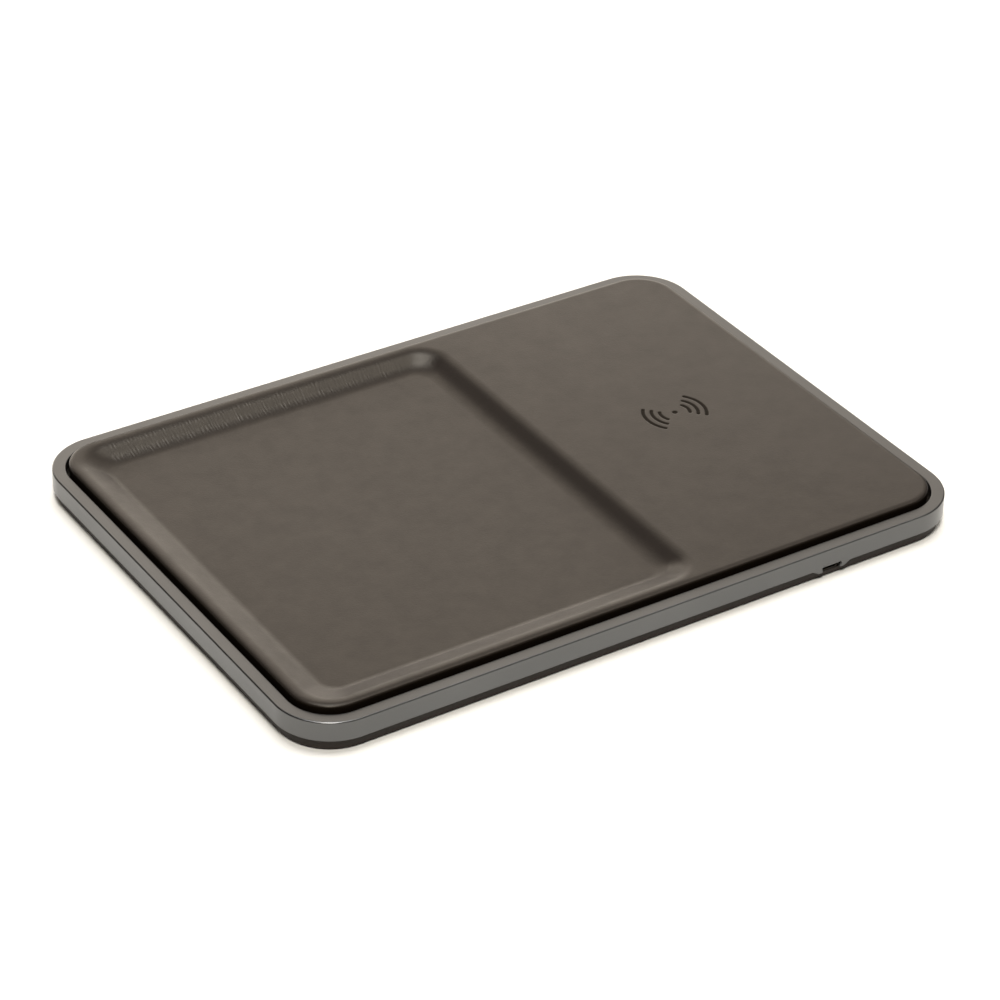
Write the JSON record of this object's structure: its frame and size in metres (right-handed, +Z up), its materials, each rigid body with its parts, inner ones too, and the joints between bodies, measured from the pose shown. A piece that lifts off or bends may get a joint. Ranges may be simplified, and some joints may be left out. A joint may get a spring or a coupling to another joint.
{
  "type": "charging station organizer",
  "caption": "Low leather-topped desk tray in a slim metal frame, with a shallow catch-all dish beside a flat wireless charging field and a small power socket.",
  "frame": {"origin": "on the table, under the middle of the tray's bounding box", "axes": "+X along the long side towards the charging field, +Y towards the back, away from the socket, +Z up"},
  "size_m": [0.24, 0.1742, 0.013],
  "materials": {
    "anodised_frame": "dark grey anodised, fine bead-blasted",
    "leather": "smooth dark grey-brown, fine grain",
    "panel_plastic": "black moulded",
    "base_plastic": "dark moulded, fine texture",
    "pad_silicone": "dark silicone sheet",
    "screw_steel": "zinc plated",
    "coil_copper": "enamelled copper winding",
    "lead_jacket": "insulated lead",
    "ferrite": "sintered ferrite",
    "shield": "plain sheet",
    "carrier_plastic": "black moulded",
    "board_laminate": "green solder mask",
    "package_black": "moulded package",
    "capacitor_body": "ceramic body with tinned ends",
    "socket_steel": "plated folded steel",
    "contact_gold": "gold plated",
    "crystal_can": "metal can"
  },
  "bodies": {
    "root": {"frame": "anodised_frame", "leather_cover": "leather", "top_panel": "panel_plastic", "base_tray": "base_plastic", "base_pad": "pad_silicone", "base_screws": "screw_steel", "charging_coil": "coil_copper", "coil_leads": "lead_jacket", "ferrite_plate": "ferrite", "shield_plate": "shield", "coil_carrier": "carrier_plastic", "carrier_screws": "screw_steel", "thermistor": "package_black", "circuit_board": "board_laminate", "board_screws": "screw_steel", "socket_shell": "socket_steel", "socket_insulator": "package_black", "socket_contacts": "contact_gold", "controller_chip": "package_black", "crystal": "crystal_can", "filter_inductor": "ferrite", "inductor_winding": "coil_copper", "power_transistors": "package_black", "resonance_capacitors": "capacitor_body", "filter_capacitors": "capacitor_body", "chip_resistors": "package_black"}
  },
  "joints": []
}
